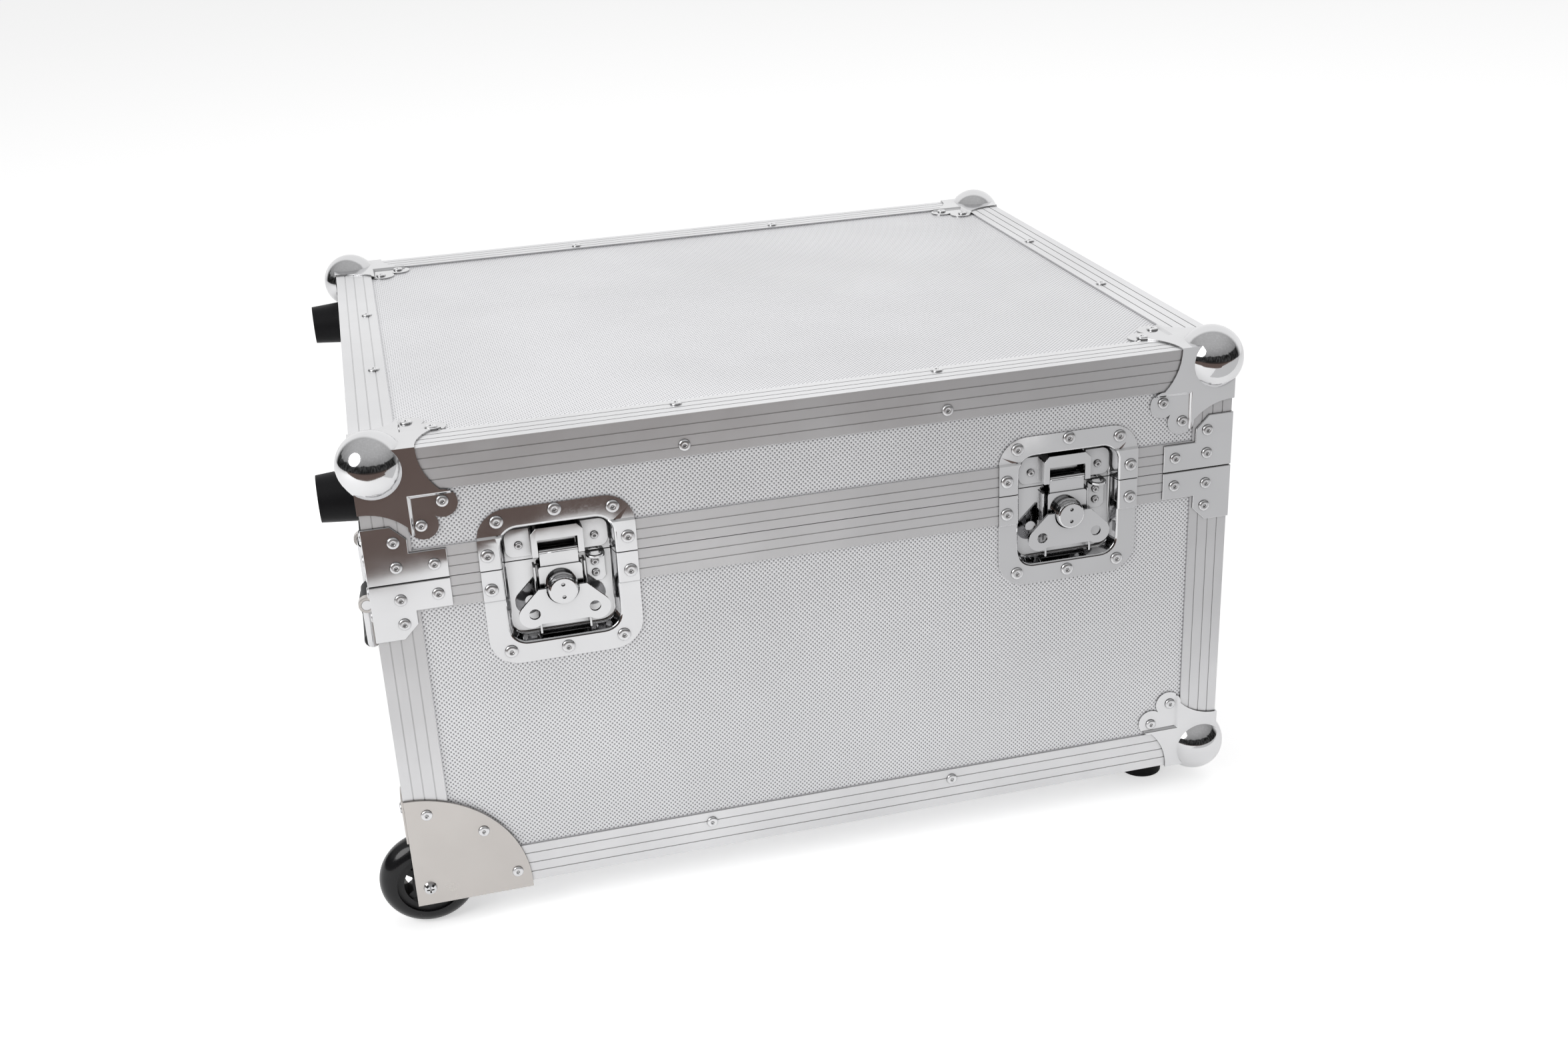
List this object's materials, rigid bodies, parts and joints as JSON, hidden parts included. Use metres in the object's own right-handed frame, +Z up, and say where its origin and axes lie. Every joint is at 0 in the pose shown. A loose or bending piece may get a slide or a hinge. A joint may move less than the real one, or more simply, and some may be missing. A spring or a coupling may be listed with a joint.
{
  "type": "trolley flight case",
  "caption": "Aluminium-edged trolley flight case with a hinged lid, recessed butterfly latches, ball corners, corner wheels, rubber feet, side handle and telescopic pull handle.",
  "frame": {"origin": "on the floor under the middle of the whole object's box", "axes": "+Z up, -Y towards the latches, +X towards the end with the telescopic handle"},
  "size_m": [0.6562, 0.5424, 0.3762],
  "materials": {
    "panel": "light embossed laminate on plywood",
    "extrusion": "satin anodised, fine ribs",
    "chromed": "bright chromed steel",
    "satin_steel": "satin steel",
    "zinc_steel": "zinc-plated sheet",
    "rivet": "bright rivet heads",
    "foot_rubber": "black moulded rubber",
    "grip_rubber": "black moulded grip",
    "tyre": "glossy black tread",
    "hub": "black moulded hub",
    "bearing": "ground steel",
    "tube": "anodised tube",
    "black_plastic": "black moulded plastic",
    "cover_board": "black sheet",
    "lining": "dark foam with cloth face"
  },
  "bodies": {
    "base": {"base_bottom_panel": "panel", "base_front_panel": "panel", "base_back_panel": "panel", "base_left_panel": "panel", "base_right_panel": "panel", "base_bottom_edges": "extrusion", "base_corner_posts": "extrusion", "base_closing_frame": "extrusion", "base_ball_corners": "chromed", "base_corner_braces": "chromed", "base_fasteners": "rivet", "base_lining": "lining", "bottom_feet": "foot_rubber", "hinge_base_leaves": "chromed", "hinge_pins": "chromed", "latch_base_dishes": "chromed", "latch_channels": "chromed", "latch_padlock_eyes": "chromed", "wheel_wells": "zinc_steel", "wheel_corner_plates": "satin_steel", "wheel_axle_bolts": "chromed", "side_handle_plate": "satin_steel", "trolley_bezel": "black_plastic", "trolley_outer_tubes": "tube", "trolley_tube_bushes": "black_plastic", "trolley_end_bracket": "zinc_steel", "trolley_cover": "cover_board"},
    "lid": {"lid_top_panel": "panel", "lid_front_panel": "panel", "lid_back_panel": "panel", "lid_left_panel": "panel", "lid_right_panel": "panel", "lid_top_edges": "extrusion", "lid_corner_posts": "extrusion", "lid_closing_frame": "extrusion", "lid_ball_corners": "chromed", "lid_corner_braces": "chromed", "lid_fasteners": "rivet", "lid_lining": "lining", "latch_lid_dishes": "chromed", "latch_keepers": "chromed", "hinge_lid_leaves": "chromed", "side_feet": "foot_rubber"},
    "left_knob": {"latch_left_knob": "chromed"},
    "left_wing": {"latch_left_wing": "chromed"},
    "left_hook": {"latch_left_hook": "chromed"},
    "right_knob": {"latch_right_knob": "chromed"},
    "right_wing": {"latch_right_wing": "chromed"},
    "right_hook": {"latch_right_hook": "chromed"},
    "front_wheel": {"wheel_front_tyre": "tyre", "wheel_front_hub": "hub", "wheel_front_bearings": "bearing"},
    "back_wheel": {"wheel_back_tyre": "tyre", "wheel_back_hub": "hub", "wheel_back_bearings": "bearing"},
    "carrying_handle": {"side_handle_bail": "chromed", "side_handle_grip": "grip_rubber"},
    "pull_handle": {"trolley_inner_tubes": "tube", "trolley_grip": "black_plastic"},
    "release_button": {"trolley_button": "black_plastic"}
  },
  "joints": [
    {"name": "lid_hinge", "type": "hinge", "parent": "base", "child": "lid", "pos_m": [0.0069, 0.2642, 0.2725], "axis": [-1, 0, 0], "range_deg": [0, 100]},
    {"name": "left_latch_turn", "type": "hinge", "parent": "base", "child": "left_knob", "pos_m": [-0.1771, -0.26, 0.25275], "axis": [0, 1, 0], "range_deg": [0, 180]},
    {"name": "left_hook_slide", "type": "slide", "parent": "base", "child": "left_hook", "axis": [0, 0, 1], "range_m": [0, 0.006]},
    {"name": "left_wing_fold", "type": "hinge", "parent": "left_knob", "child": "left_wing", "pos_m": [-0.1771, -0.2619, 0.25275], "axis": [-1, 0, 0], "range_deg": [0, 90]},
    {"name": "right_latch_turn", "type": "hinge", "parent": "base", "child": "right_knob", "pos_m": [0.1909, -0.26, 0.25275], "axis": [0, 1, 0], "range_deg": [0, 180]},
    {"name": "right_hook_slide", "type": "slide", "parent": "base", "child": "right_hook", "axis": [0, 0, 1], "range_m": [0, 0.006]},
    {"name": "right_wing_fold", "type": "hinge", "parent": "right_knob", "child": "right_wing", "pos_m": [0.1909, -0.2619, 0.25275], "axis": [-1, 0, 0], "range_deg": [0, 90]},
    {"name": "front_wheel_spin", "type": "hinge", "parent": "base", "child": "front_wheel", "pos_m": [-0.2931, -0.245, 0.035], "axis": [0, 1, 0], "continuous": true},
    {"name": "back_wheel_spin", "type": "hinge", "parent": "base", "child": "back_wheel", "pos_m": [-0.2931, 0.245, 0.035], "axis": [0, 1, 0], "continuous": true},
    {"name": "carrying_handle_swing", "type": "hinge", "parent": "base", "child": "carrying_handle", "pos_m": [-0.3121, 0, 0.175], "axis": [0, 1, 0], "range_deg": [0, 90]},
    {"name": "pull_handle_slide", "type": "slide", "parent": "base", "child": "pull_handle", "axis": [1, 0, 0], "range_m": [0, 0.43]},
    {"name": "release_button_press", "type": "slide", "parent": "pull_handle", "child": "release_button", "axis": [-1, 0, 0], "range_m": [0, 0.003], "stiffness_N_per_m": 1500}
  ],
  "couplings": [
    {"joint": "left_hook_slide", "follows": "left_latch_turn", "m_per_rad": 0.0019099},
    {"joint": "right_hook_slide", "follows": "right_latch_turn", "m_per_rad": 0.0019099}
  ]
}
